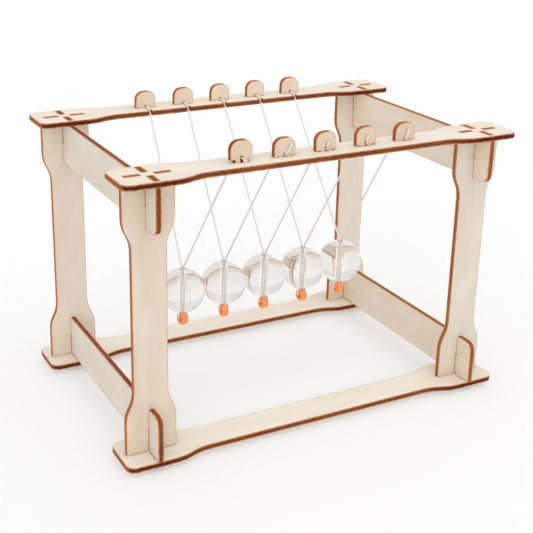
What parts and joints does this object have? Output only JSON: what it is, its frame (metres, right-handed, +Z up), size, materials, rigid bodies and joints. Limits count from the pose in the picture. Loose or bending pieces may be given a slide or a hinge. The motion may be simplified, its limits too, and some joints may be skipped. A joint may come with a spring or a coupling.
{
  "type": "newtons cradle",
  "caption": "Slot-together plywood frame with a row of clear balls hung on V-shaped strings; the ball at either end swings out and back.",
  "frame": {"origin": "on the table under the middle of the frame, level with the undersides of the feet", "axes": "+X along the row of balls to the right-hand end, +Y from the front rails to the back rails, +Z up"},
  "size_m": [0.153, 0.0992, 0.1101],
  "materials": {
    "ply": "sanded birch veneer faces, laser-burnt edges",
    "acrylic": "clear, polished",
    "bead": "satin translucent orange",
    "string": "twisted undyed cotton thread"
  },
  "bodies": {
    "frame": {"bottom_rail_front": "ply", "top_rail_front": "ply", "bottom_rail_back": "ply", "top_rail_back": "ply", "leg_front_left": "ply", "leg_front_right": "ply", "leg_back_left": "ply", "leg_back_right": "ply", "crossbar_top_left": "ply", "crossbar_bottom_left": "ply", "crossbar_top_right": "ply", "crossbar_bottom_right": "ply", "foot_front_left": "ply", "foot_front_right": "ply", "foot_back_left": "ply", "foot_back_right": "ply", "peg_front_1": "ply", "peg_front_2": "ply", "peg_front_3": "ply", "peg_front_4": "ply", "peg_front_5": "ply", "peg_back_1": "ply", "peg_back_2": "ply", "peg_back_3": "ply", "peg_back_4": "ply", "peg_back_5": "ply", "string_end_front_1": "string", "string_end_front_2": "string", "string_end_front_3": "string", "string_end_front_4": "string", "string_end_front_5": "string", "string_end_back_1": "string", "string_end_back_2": "string", "string_end_back_3": "string", "string_end_back_4": "string", "string_end_back_5": "string"},
    "pendulum_1": {"ball_1": "acrylic", "bead_1": "bead", "string_1": "string"},
    "pendulum_2": {"ball_2": "acrylic", "bead_2": "bead", "string_2": "string"},
    "pendulum_3": {"ball_3": "acrylic", "bead_3": "bead", "string_3": "string"},
    "pendulum_4": {"ball_4": "acrylic", "bead_4": "bead", "string_4": "string"},
    "pendulum_5": {"ball_5": "acrylic", "bead_5": "bead", "string_5": "string"}
  },
  "joints": [
    {"name": "swing_1", "type": "hinge", "parent": "frame", "child": "pendulum_1", "pos_m": [-0.0322, 0, 0.10015], "axis": [0, 1, 0], "range_deg": [0, 50]},
    {"name": "swing_2", "type": "hinge", "parent": "frame", "child": "pendulum_2", "pos_m": [-0.0161, 0, 0.10015], "axis": [0, 1, 0], "range_deg": [-0.2, 0.2]},
    {"name": "swing_3", "type": "hinge", "parent": "frame", "child": "pendulum_3", "pos_m": [0, 0, 0.10015], "axis": [0, 1, 0], "range_deg": [-0.2, 0.2]},
    {"name": "swing_4", "type": "hinge", "parent": "frame", "child": "pendulum_4", "pos_m": [0.0161, 0, 0.10015], "axis": [0, 1, 0], "range_deg": [-0.2, 0.2]},
    {"name": "swing_5", "type": "hinge", "parent": "frame", "child": "pendulum_5", "pos_m": [0.0322, 0, 0.10015], "axis": [0, 1, 0], "range_deg": [-50, 0]}
  ]
}
